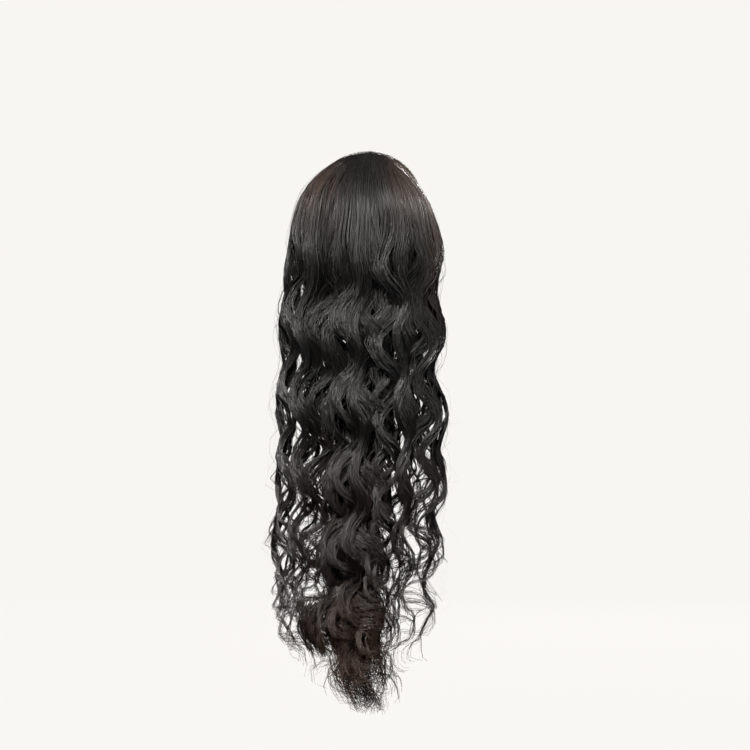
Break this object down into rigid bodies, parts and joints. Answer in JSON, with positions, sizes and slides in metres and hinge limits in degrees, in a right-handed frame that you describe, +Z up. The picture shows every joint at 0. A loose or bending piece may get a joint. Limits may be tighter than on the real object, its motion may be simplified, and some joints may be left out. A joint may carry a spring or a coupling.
{
  "type": "ponytail hairpiece",
  "caption": "Clip-in ponytail hairpiece: a domed cap with a gathered edge band and inner combs, and a long wavy off-black tail of hair in an outer and an under layer.",
  "frame": {"origin": "centre of the cap's open rim, where it sits on the back of the wearer's head", "axes": "+Z up along the hanging tail; +Y the way the wearer faces, so the tail hangs on the -Y side; +X the wearer's right"},
  "size_m": [0.1765, 0.0945, 0.5487],
  "materials": {
    "cap_net": "fine black stretch net, matt",
    "band_elastic": "light grey gathered elastic binding, stitched, matt",
    "comb_plastic": "black moulded plastic, half matt",
    "outer_hair": "off-black wavy hair with a cool grey sheen, warm brown at the flanks and tips",
    "under_hair": "off-black wavy hair, a little duller than the outer layer"
  },
  "bodies": {
    "root": {"base_cap": "cap_net", "edge_band": "band_elastic", "upper_comb": "comb_plastic", "lower_comb": "comb_plastic", "hair_outer_layer": "outer_hair", "hair_under_layer": "under_hair"}
  },
  "joints": []
}
